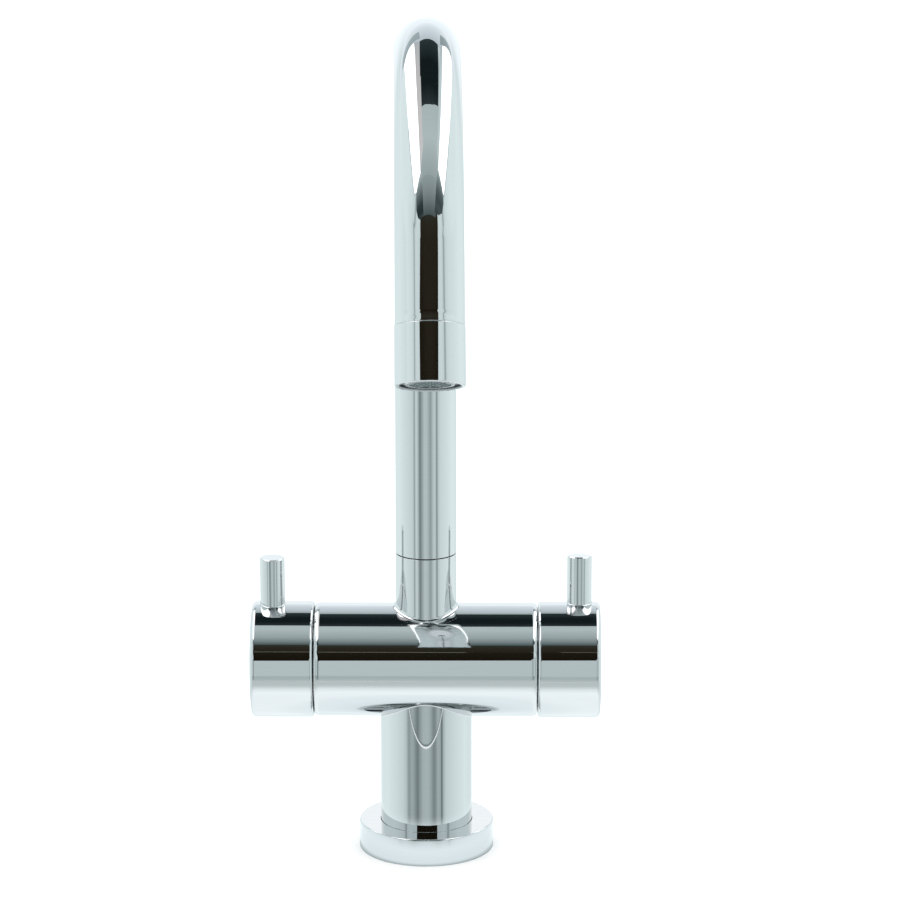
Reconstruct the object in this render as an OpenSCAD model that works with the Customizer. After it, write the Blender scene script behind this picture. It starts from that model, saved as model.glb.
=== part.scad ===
// Two-handle kitchen tap: a horizontal barrel on a pillar, quarter-turn ceramic valves at both
// ends and a swan-neck spout that swivels on top. Millimetres, +Z up, spout towards -Y.
// The origin is the middle of the pillar's foot, on the deck.

/* [Base] */
// Diameter of the deck flange
flange_d = 62.4; // [58:0.1:70]
// Height of the deck flange
flange_h = 13; // [10:0.1:18]
// Rounding of the flange's top edge
flange_round = 0.8; // [0.3:0.1:2]
// Running gap between flange bore and pillar
flange_gap = 0.15; // [0.05:0.05:0.4]
// Thickness of the rubber ring under the flange
base_seal_t = 3; // [2:0.1:5]
// Diameter of the pillar
pillar_d = 42.4; // [38:0.1:46]
// Rounding between pillar and barrel
pillar_fillet = 1; // [0.6:0.1:2]

/* [Inlets and fixings] */
// Distance between the hot and cold inlet ports
port_spacing = 18; // [16:0.5:20]
// Thread diameter of the inlet ports
port_d = 10; // [9:0.5:10]
// Depth of the inlet threads
port_depth = 12; // [8:0.5:16]
// Diameter of the supply bores above the ports
supply_d = 8; // [6:0.5:8]
// Distance between the two fixing stud holes
stud_spacing = 23; // [20:0.5:26]
// Thread diameter of the fixing studs
stud_d = 8; // [6:1:8]
// Depth of the fixing stud holes
stud_depth = 14; // [8:0.5:20]

/* [Barrel] */
// Height of the barrel's axis above the deck
barrel_z = 90.4; // [80:0.1:110]
// Diameter of the barrel
barrel_d = 52.7; // [50:0.1:58]
// Length of the barrel between its end faces
barrel_len = 102.4; // [98:0.1:120]
// Radius to which polishing has crowned the barrel's ends
crown_r = 5.4; // [4:0.1:8]
// Length of the barrel's crowned ends
crown_len = 2.9; // [1:0.1:3.5]
// Height of the spout socket above the barrel's crown
socket_rise = 25.05; // [20:0.05:32]
// Wall of the spout socket
socket_wall = 3; // [2.5:0.1:3.5]
// Rounding between spout socket and barrel
socket_fillet = 2.1; // [0.8:0.1:2.5]
// Diameter of the gallery that joins the two valve chambers
gallery_d = 7; // [5:0.5:8]

/* [Handles] */
// How far a handle drum's radius stands proud of the barrel
drum_step = 0.55; // [0.1:0.05:1.2]
// Length of a handle drum
drum_len = 28.9; // [26.5:0.05:36]
// Running gap between barrel and drum
drum_gap = 0.4; // [0.3:0.1:1]
// Wall of a handle drum
drum_wall = 2.4; // [1.8:0.1:3.5]
// Thickness of a drum's closed end
drum_end = 3; // [2:0.1:4]
// Rounding of a drum's inner edge
drum_inner_round = 1.5; // [0.5:0.1:1.7]
// Rounding of a drum's outer edge
drum_outer_round = 2.4; // [0.8:0.1:3]
// Diameter of a lever
lever_d = 11.5; // [10:0.1:12.5]
// Length of a lever above the drum
lever_len = 21.9; // [16:0.1:40]
// Distance from a lever's axis to the drum's outer end
lever_inset = 9.7; // [8.8:0.1:10]
// Rounding at the foot of a lever
lever_fillet = 0.4; // [0.3:0.1:1.2]
// Chamfer on top of a lever
lever_chamfer = 0.4; // [0.2:0.1:1.5]
// How far the right lever leans back when shut
right_lean = 6; // [0:1:12]

/* [Valves] */
// Thread diameter of a valve
valve_thread_d = 20.9; // [20.5:0.1:21.5]
// Distance from the barrel's end face to the valve seat
valve_reach = 27.5; // [27:0.1:30]
// Bore of the valve seat
seat_bore_d = 10; // [8:0.5:11]
// Thickness of the rubber seat seal
seat_seal_t = 2.5; // [2:0.1:3.5]
// Diameter of the ceramic discs
disc_d = 15.8; // [15:0.1:16]
// Thickness of each ceramic disc
disc_t = 3; // [2.5:0.1:3.5]
// Diameter of the valve spindle
spindle_d = 10; // [9:0.1:10.4]
// Outer diameter of the spindle's splines
spline_d = 8; // [7:0.1:8.4]
// Number of spline teeth
spline_teeth = 20; // [16:1:24]
// Length of the splines
spline_len = 9; // [8:0.1:9.4]
// Width across the flats of the valve's hexagon
hex_af = 22; // [20:0.5:24]
// Length of the valve's hexagon
hex_len = 6.5; // [5:0.1:6.8]

/* [Spout] */
// Outer diameter of the spout tube
tube_d = 28; // [26:0.1:30]
// Wall of the spout tube
tube_wall = 1.3; // [1:0.1:2]
// Straight length of the riser above the swivel seam
riser_len = 142.6; // [100:0.1:200]
// Radius of the swan neck, to the tube's axis
arc_r = 101.2; // [80:0.1:120]
// Angle through which the swan neck bends
arc_angle = 158.4; // [140:0.1:175]
// Straight length between the bend and the nozzle
tip_len = 32.5; // [20:0.1:50]
// How far the spout is swung to the right of straight ahead at rest
spout_swing = 1.5; // [0:0.5:10]
// Length of the spigot inside the socket
spigot_len = 30; // [28:0.1:32]
// Bore of the spigot
spigot_bore_d = 15; // [12:0.1:15.5]
// Length of the spigot inside the tube
spigot_inner = 16; // [10:0.1:25]
// Thickness of the slip washer in the swivel seam
slip_washer_t = 0.4; // [0.3:0.1:1]
// Diameter of the lock screw at the back of the socket
lock_screw_d = 4; // [3:0.5:5]

/* [Outlet] */
// Outer diameter of the nozzle
nozzle_d = 28.4; // [28:0.1:31]
// Length of the nozzle
nozzle_len = 24; // [22:0.1:32]
// Thread diameter inside the nozzle
outlet_d = 24.3; // [24.2:0.1:25]
// Depth of the threaded outlet
outlet_depth = 15; // [14:0.1:17]
// Diameter of the aerator's visible nose
nose_d = 20.3; // [20:0.1:21]
// How far the aerator's nose stands back from the nozzle's edge
nose_setback = 0.5; // [0.3:0.1:3]
// Width of one honeycomb cell across its flats
cell_af = 2; // [1.6:0.1:2.4]
// Wall between two honeycomb cells
cell_wall = 0.5; // [0.4:0.05:0.8]

/* [Fits] */
// Radial running clearance of turning shafts
running_fit = 0.05; // [0.02:0.01:0.09]
// Gap between pieces that are soldered, screwed or pressed together
seat_fit = 0.05; // [0.02:0.01:0.1]
// Gap around a rubber ring that slides
seal_gap = 0.15; // [0.1:0.05:0.3]
// Axial gap at faces that turn on each other
face_gap = 0.1; // [0.05:0.05:0.2]

/* [Hidden] */

$fn = 96;
// overshoot of cutting shapes past the faces they open
eps = 0.5;

flange_r = flange_d / 2;
pillar_r = pillar_d / 2;
barrel_r = barrel_d / 2;
barrel_end = barrel_len / 2;
tube_r = tube_d / 2;
tube_ir = tube_r - tube_wall;

// spout socket and swivel
socket_bore_r = tube_r - socket_wall;
rim_z = barrel_z + barrel_r + socket_rise;
foot_z = rim_z + slip_washer_t + face_gap;
spigot_r = socket_bore_r - running_fit;
socket_floor = foot_z - spigot_len - 1.5;
lock_z = foot_z - spigot_len / 2;
lock_groove_r = spigot_r - 1.2;
lock_tip_d = lock_screw_d - 1.6;
spout_ring_section = 2;
spout_ring_r = socket_bore_r - seal_gap;
spout_groove_r = spout_ring_r - spout_ring_section - seat_fit;
spout_ring_heights = [foot_z - spigot_len / 5, foot_z - spigot_len * 4 / 5];

// swan neck, in the plane that spout_swing turns
arc_z = foot_z + riser_len;
// the straight tip's wall is this much thinner each side, so that it starts inside the bend's
weld_step = 0.02;

// valve chambers and waterways, along +X from the middle of the barrel
valve_bore_r = valve_thread_d / 2 + seat_fit;
seat_x = barrel_end - valve_reach;
cage_x = seat_x + seat_seal_t;
cage_r = disc_d / 2 + 1.2;
pocket_r = disc_d / 2 + 0.2;
fixed_disc_x = cage_x;
moving_disc_x = fixed_disc_x + disc_t + face_gap;
drive_x = moving_disc_x + disc_t + seat_fit;
drive_t = 2.5;
thrust_x = drive_x + drive_t + face_gap;
thrust_t = 0.8;
pocket_end = thrust_x + thrust_t + seat_fit;
thread_x = seat_x + 12.7;
relief_r = valve_bore_r + 2;
gallery_r = gallery_d / 2;
gallery_h = relief_r + gallery_r - 1.5;

// outside of the valve, inside the drum
valve_washer_t = 1;
shoulder_x = barrel_end + valve_washer_t;
shoulder_t = 2;
shoulder_r = valve_thread_d / 2 + 2.8;
hex_x = shoulder_x + shoulder_t;
neck_len = 2;
valve_end = hex_x + hex_len + neck_len;
clip_t = 0.8;
clip_x = valve_end + 0.3;
spline_x = clip_x + clip_t + 1.4;
spline_depth = 0.35;
spindle_ring_section = 1.4;
spindle_ring_r = spindle_d / 2 - seal_gap;
spindle_groove_r = spindle_ring_r - spindle_ring_section - seat_fit;
spindle_ring_places = [valve_end - 5, valve_end - 10];
clip_groove_r = spindle_d / 2 - 0.9;

// handle drum
drum_r = barrel_r + drum_step;
drum_x = barrel_end + drum_gap;
drum_tip = drum_x + drum_len;
drum_floor = drum_tip - drum_end;
drum_half = drum_len / 2;
drum_ir = drum_r - drum_wall;
lever_x = drum_tip - lever_inset;
bush_r = spline_d / 2 + 2.5;
hub_r = bush_r + 3.5;
boss_r = 5.3;
stud_r = 3;
lever_stud_len = 9;
set_screw_d = 5;
set_screw_len = 10;

// nozzle and aerator, along the flow from the nozzle's seam
nozzle_r = nozzle_d / 2;
outlet_r = outlet_d / 2;
outlet_floor = nozzle_len - outlet_depth;
washer_end = outlet_floor + 1.5;
nose_end = nozzle_len - nose_setback;
nose_len = 3.5;
insert_r = nose_d / 2 - 1.3;
insert_floor = washer_end + 2;
insert_end = nose_end - 0.4;

chrome = [0.86, 0.88, 0.9];
brass = [0.8, 0.65, 0.35];
steel = [0.62, 0.64, 0.66];
rubber = [0.1, 0.1, 0.1];
acetal = [0.92, 0.92, 0.88];
ceramic_white = [0.95, 0.94, 0.9];

// lays a shape that was turned about Z along +X
module about_x() rotate([0, 90, 0]) children();

// ring from inner to outer radius, between two heights
module ring(inner, outer, from, to)
    translate([0, 0, from])
        difference() {
            cylinder(h = to - from, r = outer);
            translate([0, 0, -eps]) cylinder(h = to - from + 2 * eps, r = inner);
        }

// rod between two heights
module rod(radius, from, to) translate([0, 0, from]) cylinder(h = to - from, r = radius);

// rod whose two end edges are chamfered
module chamfered_rod(radius, from, to, low, high)
    rotate_extrude()
        polygon([[0, from], [radius - low, from], [radius, from + low],
                 [radius, to - high], [radius - high, to], [0, to]]);

// Half outline of a turned rod, from its middle to its end face: the edge is rounded with a
// circle of radius r, and the face cuts it off once the rounding is len long
module rounded_end(radius, to, r, len) {
    translate([0, -1]) square([radius, to - len + 1]);
    square([radius - r, to]);
    intersection() {
        translate([radius - r, to - len]) circle(r = r);
        square([radius, to]);
    }
}

// round rubber ring about Z
module o_ring(outer, section, height)
    rotate_extrude() translate([outer - section / 2, height]) circle(d = section);

// Rounding where an upright post meets a bar along X, as a ball rolled round the corner leaves
// it: the ball touches the post on one side and the bar on the other, and climbs the saddle.
function ball_centre(a, post, bar, f) =
    [(post + f) * cos(a), (post + f) * sin(a), sqrt(pow(bar + f, 2) - pow((post + f) * sin(a), 2))];
function unit(v) = v / norm(v);
function between(u, v, t) =
    let (w = acos(u * v)) (sin((1 - t) * w) * u + sin(t * w) * v) / sin(w);
function fillet_section(a, post, bar, f, steps, bite) =
    let (c = ball_centre(a, post, bar, f),
         to_post = [-cos(a), -sin(a), 0],
         to_bar = unit([0, -c[1], -c[2]]))
    concat([c + to_post * (f + bite)],
           [for (k = [1 : steps - 1]) c + between(to_post, to_bar, k / steps) * f],
           [c + to_bar * (f + bite)],
           [c + (to_post + to_bar) * (f + bite)]);
module saddle_fillet(post, bar, f, sides = 60, steps = 5, bite = 0.12) {
    size = steps + 2;
    points = [for (i = [0 : sides - 1]) each fillet_section(i * 360 / sides, post, bar, f, steps, bite)];
    faces = [for (i = [0 : sides - 1], k = [0 : size - 1])
                let (i2 = (i + 1) % sides, k2 = (k + 1) % size)
                each [[i * size + k, i * size + k2, i2 * size + k2],
                      [i * size + k, i2 * size + k2, i2 * size + k]]];
    polyhedron(points = points, faces = faces, convexity = 4);
}

// Splined outline: teeth with sloped flanks, grown outwards by a clearance
module spline_outline(grow)
    polygon([for (i = [0 : spline_teeth - 1], k = [[0.12, 1], [0.38, 1], [0.62, 0], [0.88, 0]])
                let (a = (i + k[0]) * 360 / spline_teeth,
                     r = spline_d / 2 + grow - (1 - k[1]) * spline_depth)
                [r * cos(a), r * sin(a)]]);

// Two opposite fan-shaped ports of a ceramic disc
module disc_ports(turn)
    for (side = [0, 180])
        rotate(turn + side)
            intersection() {
                difference() {
                    circle(r = disc_d / 2 - 1.6);
                    circle(r = 2);
                }
                polygon([[0, 0], [disc_d, -disc_d * tan(38)], [disc_d, disc_d * tan(38)]]);
            }

module ceramic_disc(from, turn)
    translate([0, 0, from])
        linear_extrude(disc_t)
            difference() {
                circle(d = disc_d);
                disc_ports(turn);
            }

// places that side assemblies are built in: the barrel's axis, outwards along +X
module at_right() translate([0, 0, barrel_z]) children();
module at_left() translate([0, 0, barrel_z]) mirror([1, 0, 0]) children();
module at_right_drum() at_right() rotate([-right_lean, 0, 0]) children();

// the end of the bend and the nozzle's seam, both with +Z along the flow
module swung() rotate([0, 0, spout_swing]) children();
module at_bend_end()
    swung() translate([0, -arc_r, arc_z]) rotate([arc_angle, 0, 0]) translate([0, arc_r, 0]) children();
module at_tip() at_bend_end() translate([0, 0, tip_len]) children();

module base_flange()
    color(chrome)
        rotate_extrude()
            difference() {
                union() {
                    square([flange_r, flange_h - flange_round]);
                    square([flange_r - flange_round, flange_h]);
                    translate([flange_r - flange_round, flange_h - flange_round]) circle(r = flange_round);
                }
                translate([-eps, -eps]) square([pillar_r + flange_gap + eps, flange_h + 2 * eps]);
                translate([pillar_r + 2.4, -eps])
                    square([flange_r - pillar_r - 4.8, base_seal_t + eps]);
                translate([pillar_r + 3.4, 0])
                    square([flange_r - pillar_r - 6.8, flange_h - 3]);
            }

module base_seal()
    color(rubber) ring(pillar_r + 2.4 + seat_fit, flange_r - 2.4 - seat_fit, 0, base_seal_t - seat_fit);

// Cast brass body: pillar, barrel and spout socket with their waterways
module mixer_body()
    color(chrome)
        difference() {
            union() {
                rod(pillar_r, 0, barrel_z);
                rod(tube_r, barrel_z, rim_z);
                translate([0, 0, barrel_z]) {
                    about_x()
                        rotate_extrude()
                            for (side = [0, 1])
                                mirror([0, side]) rounded_end(barrel_r, barrel_end, crown_r, crown_len);
                    saddle_fillet(tube_r, barrel_r, socket_fillet);
                    mirror([0, 0, 1]) saddle_fillet(pillar_r, barrel_r, pillar_fillet);
                }
            }
            rod(socket_bore_r, socket_floor, rim_z + eps);
            rod(spigot_bore_d / 2, barrel_z + gallery_h - gallery_r, socket_floor + eps);
            translate([0, 0, barrel_z + gallery_h])
                about_x() rod(gallery_r, -seat_x - 8, seat_x + 8);
            translate([0, 0, lock_z]) rotate([-90, 0, 0]) rod(lock_screw_d / 2 + seat_fit, 0, tube_r + eps);
            for (side = [0, 1]) {
                translate([0, 0, barrel_z]) mirror([side, 0, 0]) valve_chamber();
                mirror([side, 0, 0]) translate([port_spacing / 2, 0, 0]) {
                    rod(port_d / 2, -eps, port_depth);
                    rod(supply_d / 2, 0, barrel_z);
                }
                mirror([0, side, 0]) translate([0, stud_spacing / 2, 0]) rod(stud_d / 2, -eps, stud_depth);
            }
        }

// hollow that takes a valve, with its seat and the passage from the supply bore
module valve_chamber()
    about_x() {
        rod(valve_bore_r, seat_x, barrel_end + eps);
        rod(relief_r, cage_x + 1, thread_x);
        rod(seat_bore_d / 2, port_spacing / 2, seat_x + eps);
    }

module spout_slip_washer()
    color(acetal) ring(spigot_r + seal_gap, tube_r - 1.2, rim_z, rim_z + slip_washer_t);

// Headless screw at the back of the socket; its tip runs in the spigot's groove
module spout_lock_screw()
    color(steel)
        translate([0, 0, lock_z])
            rotate([-90, 0, 0])
                difference() {
                    union() {
                        rod(lock_screw_d / 2, socket_bore_r + 0.1, tube_r - 0.3);
                        rod(lock_tip_d / 2, lock_groove_r + 0.3, socket_bore_r + 0.2);
                    }
                    rod(lock_screw_d / 4, tube_r - 1.9, tube_r, $fn = 6);
                }

// Bent brass tube: riser, swan neck and straight tip
module spout_tube()
    color(chrome) {
        swung() {
            ring(tube_ir, tube_r, foot_z, arc_z);
            translate([0, -arc_r, arc_z])
                rotate([90, 0, 90])
                    rotate_extrude(angle = arc_angle)
                        translate([arc_r, 0])
                            difference() {
                                circle(r = tube_r);
                                circle(r = tube_ir);
                            }
        }
        at_bend_end() ring(tube_ir + weld_step, tube_r - weld_step, -1, tip_len);
    }

// Turned brass foot soldered into the riser, with grooves for seals and lock screw
module spout_spigot()
    color(brass)
        difference() {
            union() {
                chamfered_rod(spigot_r, foot_z - spigot_len, foot_z + 1, 0.8, 0.1);
                rod(tube_ir - seat_fit, foot_z, foot_z + spigot_inner);
            }
            rod(spigot_bore_d / 2, foot_z - spigot_len - eps, foot_z + spigot_inner + eps);
            ring(lock_groove_r, spigot_r + eps,
                 lock_z - lock_tip_d / 2 - 0.4, lock_z + lock_tip_d / 2 + 0.4);
            for (z = spout_ring_heights)
                ring(spout_groove_r, spigot_r + eps,
                     z - spout_ring_section * 0.6, z + spout_ring_section * 0.6);
        }

module spout_o_rings()
    color(rubber)
        for (z = spout_ring_heights)
            o_ring(spout_ring_r, spout_ring_section, z);

// Turned nozzle: a collar inside the tube, and a threaded mouth for the aerator
module nozzle()
    color(chrome)
        at_tip()
            difference() {
                union() {
                    chamfered_rod(nozzle_r, 0, nozzle_len, 0.3, 0.6);
                    rod(tube_ir - seat_fit, -8, 1);
                }
                rod(outlet_r - 2.6, -8 - eps, outlet_floor + eps);
                rod(outlet_r, outlet_floor, nozzle_len + eps);
                rotate_extrude()
                    polygon([[outlet_r - eps, nozzle_len - 0.5 - eps],
                             [outlet_r + 0.5 + eps, nozzle_len + eps],
                             [outlet_r - eps, nozzle_len + eps]]);
            }

module aerator_washer()
    color(rubber) at_tip() ring(insert_r, outlet_r - 0.3, outlet_floor + seat_fit, washer_end);

// Aerator housing that screws into the nozzle: threaded body and visible nose
module aerator_housing()
    color(steel)
        at_tip()
            difference() {
                union() {
                    rod(outlet_r - seat_fit, washer_end + seat_fit, nose_end - nose_len);
                    chamfered_rod(nose_d / 2, washer_end + 1, nose_end, 0, 0.4);
                }
                rod(insert_r - 1.2, washer_end - eps, nose_end + eps);
                rod(insert_r + seat_fit, insert_floor, insert_end);
                rod(insert_r - 0.6, insert_floor, nose_end + eps);
            }

// hexagonal cells on a triangular grid, those that lie whole within the disc
module cell_grid(limit, af, pitch)
    for (i = [-6 : 6], j = [-6 : 6])
        let (x = (i + j / 2) * pitch, y = j * pitch * sqrt(3) / 2)
        if (norm([x, y]) + af / sqrt(3) < limit)
            translate([x, y]) rotate(30) circle(d = af * 2 / sqrt(3), $fn = 6);

module aerator_honeycomb()
    color(acetal)
        at_tip()
            translate([0, 0, insert_floor + 1.2])
                linear_extrude(insert_end - insert_floor - 1.3)
                    difference() {
                        circle(r = insert_r);
                        cell_grid(insert_r - 0.7, cell_af, cell_af + cell_wall);
                    }

// Pressed screen that sits on a step of the housing, above the honeycomb
module aerator_mesh()
    color(steel)
        at_tip()
            translate([0, 0, insert_floor + seat_fit])
                linear_extrude(0.5)
                    difference() {
                        circle(r = insert_r);
                        cell_grid(insert_r - 0.7, cell_af * 0.6, cell_af + cell_wall);
                    }

// Handle drum: a cup with a hub for the spline bush and two bosses, one for the lever's stud
// above and one for the set screw below
module handle_drum()
    color(chrome)
        difference() {
            union() {
                about_x()
                    difference() {
                        rotate_extrude()
                            translate([0, (drum_x + drum_tip) / 2]) {
                                rounded_end(drum_r, drum_half, drum_outer_round, drum_outer_round);
                                mirror([0, 1]) rounded_end(drum_r, drum_half, drum_inner_round, drum_inner_round);
                            }
                        rod(drum_ir, drum_x - eps, drum_floor);
                    }
                about_x() rod(hub_r, spline_x + 0.5, drum_floor + eps);
                translate([lever_x, 0, 0]) rod(boss_r, -drum_ir - drum_wall / 2, drum_ir + drum_wall / 2);
            }
            about_x() rod(bush_r + seat_fit, spline_x, drum_floor);
            translate([lever_x, 0, 0]) {
                rod(stud_r + seat_fit, drum_r - lever_stud_len - 1, drum_r + eps);
                rod(set_screw_d / 2 + seat_fit, -drum_r - eps, 0);
            }
        }

// Lever: a rod whose foot is cut to the drum, with a threaded stud below
module lever_pin()
    color(chrome)
        translate([lever_x, 0, 0]) {
            difference() {
                union() {
                    chamfered_rod(lever_d / 2, drum_r - 2, drum_r + lever_len, 0, lever_chamfer);
                    saddle_fillet(lever_d / 2, drum_r, lever_fillet, 40, 4, 0.1);
                }
                about_x() rod(drum_r + seat_fit, -lever_d, lever_d);
            }
            rod(stud_r, drum_r - lever_stud_len, drum_r + 1);
        }

// Socket set screw that clamps the drum on the spline bush
module set_screw()
    color(steel)
        translate([lever_x, 0, 0])
            mirror([0, 0, 1])
                difference() {
                    chamfered_rod(set_screw_d / 2, bush_r + seat_fit, bush_r + set_screw_len, 0.6, 0.3);
                    translate([0, 0, bush_r + set_screw_len - 2.5]) rod(set_screw_d / 4, 0, 3, $fn = 6);
                }

module spline_bush()
    color(acetal)
        about_x()
            translate([0, 0, spline_x + 0.5])
                linear_extrude(spline_len)
                    difference() {
                        circle(r = bush_r);
                        spline_outline(seat_fit);
                    }

// Spindle: drive plate with a tongue for the moving disc, sealed shaft, clip groove and splines
module valve_spindle()
    color(brass)
        about_x() {
            difference() {
                union() {
                    rod(disc_d / 2 - 0.1, drive_x, drive_x + drive_t);
                    rod(spindle_d / 2 - running_fit, drive_x, spline_x - 0.4);
                }
                for (x = spindle_ring_places)
                    ring(spindle_groove_r, disc_d,
                         x - spindle_ring_section * 0.8, x + spindle_ring_section * 0.8);
                ring(clip_groove_r, disc_d, clip_x, clip_x + clip_t + face_gap);
            }
            translate([0, 0, spline_x - 1]) linear_extrude(spline_len + 1) spline_outline(0);
            translate([-1.2, -disc_d / 4, drive_x - 1]) cube([2.4, disc_d / 2, 1.5]);
        }

// Spring clip that holds the spindle in the valve
module spindle_clip()
    color(steel)
        about_x()
            difference() {
                ring(clip_groove_r + seat_fit, spindle_d / 2 + 1.6, clip_x + seat_fit, clip_x + clip_t);
                translate([0, -2.2, clip_x - eps]) cube([disc_d, 4.4, 2 * clip_t + eps]);
            }

module spindle_o_rings()
    color(rubber)
        about_x()
            for (x = spindle_ring_places)
                o_ring(spindle_ring_r, spindle_ring_section, x);

module thrust_washer()
    color(acetal) about_x() ring(spindle_d / 2 + seal_gap, disc_d / 2 - 0.2, thrust_x, thrust_x + thrust_t);

module moving_disc()
    color(ceramic_white)
        about_x()
            difference() {
                ceramic_disc(moving_disc_x, 0);
                translate([-1.25, -disc_d / 4 - seat_fit, moving_disc_x + disc_t - 1.1])
                    cube([2.5, disc_d / 2 + 2 * seat_fit, 2]);
            }

module fixed_disc() color(ceramic_white) about_x() ceramic_disc(fixed_disc_x, 90);

module seat_seal()
    color(rubber) about_x() ring(seat_bore_d / 2 + 0.3, cage_r - 0.6, seat_x, cage_x - seat_fit);

// Valve body: cage with four windows round the discs, thread, shoulder, hexagon and neck
module valve_body()
    color(brass)
        about_x()
            difference() {
                union() {
                    rod(cage_r, cage_x, thread_x + 1);
                    rod(valve_thread_d / 2, thread_x, hex_x);
                    rod(shoulder_r, shoulder_x, hex_x);
                    translate([0, 0, hex_x - 0.2]) rod(hex_af / sqrt(3), 0, hex_len + 0.2, $fn = 6);
                    rod(spindle_d / 2 + 2.4, hex_x, valve_end);
                }
                rod(pocket_r, cage_x - eps, pocket_end);
                rod(spindle_d / 2, cage_x, valve_end + eps);
                for (turn = [45 : 90 : 315])
                    rotate(turn)
                        translate([0, -2.6, moving_disc_x + 0.4])
                            cube([disc_d, 5.2, disc_t + 1]);
            }

module valve_washer()
    color(rubber)
        about_x() ring(valve_thread_d / 2 + seat_fit, shoulder_r - 0.4, barrel_end, shoulder_x - seat_fit);

module left_handle_drum() at_left() handle_drum();
module left_lever_pin() at_left() lever_pin();
module left_set_screw() at_left() set_screw();
module left_spline_bush() at_left() spline_bush();
module left_valve_spindle() at_left() valve_spindle();
module left_spindle_clip() at_left() spindle_clip();
module left_spindle_o_rings() at_left() spindle_o_rings();
module left_thrust_washer() at_left() thrust_washer();
module left_moving_disc() at_left() moving_disc();
module left_fixed_disc() at_left() fixed_disc();
module left_seat_seal() at_left() seat_seal();
module left_valve_body() at_left() valve_body();
module left_valve_washer() at_left() valve_washer();
module right_handle_drum() at_right_drum() handle_drum();
module right_lever_pin() at_right_drum() lever_pin();
module right_set_screw() at_right_drum() set_screw();
module right_spline_bush() at_right() spline_bush();
module right_valve_spindle() at_right() valve_spindle();
module right_spindle_clip() at_right() spindle_clip();
module right_spindle_o_rings() at_right() spindle_o_rings();
module right_thrust_washer() at_right() thrust_washer();
module right_moving_disc() at_right() moving_disc();
module right_fixed_disc() at_right() fixed_disc();
module right_seat_seal() at_right() seat_seal();
module right_valve_body() at_right() valve_body();
module right_valve_washer() at_right() valve_washer();

base_flange();
base_seal();
mixer_body();
spout_slip_washer();
spout_lock_screw();
spout_tube();
spout_spigot();
spout_o_rings();
nozzle();
aerator_washer();
aerator_housing();
aerator_honeycomb();
aerator_mesh();
left_handle_drum();
left_lever_pin();
left_set_screw();
left_spline_bush();
left_valve_spindle();
left_spindle_clip();
left_spindle_o_rings();
left_thrust_washer();
left_moving_disc();
left_fixed_disc();
left_seat_seal();
left_valve_body();
left_valve_washer();
right_handle_drum();
right_lever_pin();
right_set_screw();
right_spline_bush();
right_valve_spindle();
right_spindle_clip();
right_spindle_o_rings();
right_thrust_washer();
right_moving_disc();
right_fixed_disc();
right_seat_seal();
right_valve_body();
right_valve_washer();
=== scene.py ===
import math

import bpy
import numpy as np
from mathutils import Matrix, Vector
from mathutils.geometry import tessellate_polygon


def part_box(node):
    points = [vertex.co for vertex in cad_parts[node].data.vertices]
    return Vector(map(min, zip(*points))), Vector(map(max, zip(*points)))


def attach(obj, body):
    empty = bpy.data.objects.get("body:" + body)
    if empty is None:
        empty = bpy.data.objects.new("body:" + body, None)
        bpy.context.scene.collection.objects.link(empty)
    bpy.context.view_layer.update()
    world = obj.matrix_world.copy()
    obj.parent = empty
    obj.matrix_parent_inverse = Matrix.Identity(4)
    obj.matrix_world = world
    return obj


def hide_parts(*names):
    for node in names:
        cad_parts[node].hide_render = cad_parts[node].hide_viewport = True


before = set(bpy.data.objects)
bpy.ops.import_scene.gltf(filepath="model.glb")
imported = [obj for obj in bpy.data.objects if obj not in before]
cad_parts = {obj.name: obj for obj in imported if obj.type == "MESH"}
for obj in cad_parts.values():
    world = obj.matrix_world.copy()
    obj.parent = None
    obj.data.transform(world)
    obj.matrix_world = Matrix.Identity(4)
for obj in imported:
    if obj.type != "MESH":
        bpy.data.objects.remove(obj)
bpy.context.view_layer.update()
MM = 0.001


# Rubber ring under the flange. It is a moulded nitrile washer that keeps splashed water from
# running down the hole in the deck, and it is squeezed into the flange's groove.
def finish(name, colour, metallic, roughness, spread, scale, bump, distance, slot=None):
    """Shader whose roughness wanders by spread and whose surface is dented by a fine grain."""
    material = bpy.data.materials.new(name + "_finish")
    material["slot"] = slot or name
    material.use_nodes = True
    nodes = material.node_tree.nodes
    links = material.node_tree.links
    shader = nodes["Principled BSDF"]
    shader.inputs["Base Color"].default_value = (*colour, 1)
    shader.inputs["Metallic"].default_value = metallic
    place = nodes.new("ShaderNodeTexCoord")
    grain = nodes.new("ShaderNodeTexNoise")
    grain.inputs["Scale"].default_value = scale
    grain.inputs["Detail"].default_value = 5
    links.new(place.outputs["Object"], grain.inputs["Vector"])
    span = nodes.new("ShaderNodeMapRange")
    span.inputs["To Min"].default_value = max(0.005, roughness - spread)
    span.inputs["To Max"].default_value = roughness + spread
    links.new(grain.outputs["Fac"], span.inputs["Value"])
    links.new(span.outputs["Result"], shader.inputs["Roughness"])
    dent = nodes.new("ShaderNodeBump")
    dent.inputs["Strength"].default_value = bump
    dent.inputs["Distance"].default_value = distance
    links.new(grain.outputs["Fac"], dent.inputs["Height"])
    links.new(dent.outputs["Normal"], shader.inputs["Normal"])
    return material, nodes, links, shader, grain


def colour_ramp(nodes, links, value, stops):
    """Colour that follows a value, from stops of a position and a colour."""
    ramp = nodes.new("ShaderNodeValToRGB")
    elements = ramp.color_ramp.elements
    while len(elements) < len(stops):
        elements.new(0.5)
    for element, (position, _) in zip(elements, stops):
        element.position = position
    for element, (_, colour) in zip(elements, stops):
        element.color = (*colour, 1)
    links.new(value, ramp.inputs["Fac"])
    return ramp.outputs["Color"]


def coloured_by(nodes, links, shader, source, *stops):
    """Base colour that follows a texture."""
    links.new(colour_ramp(nodes, links, source.outputs["Fac"], stops), shader.inputs["Base Color"])


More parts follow.
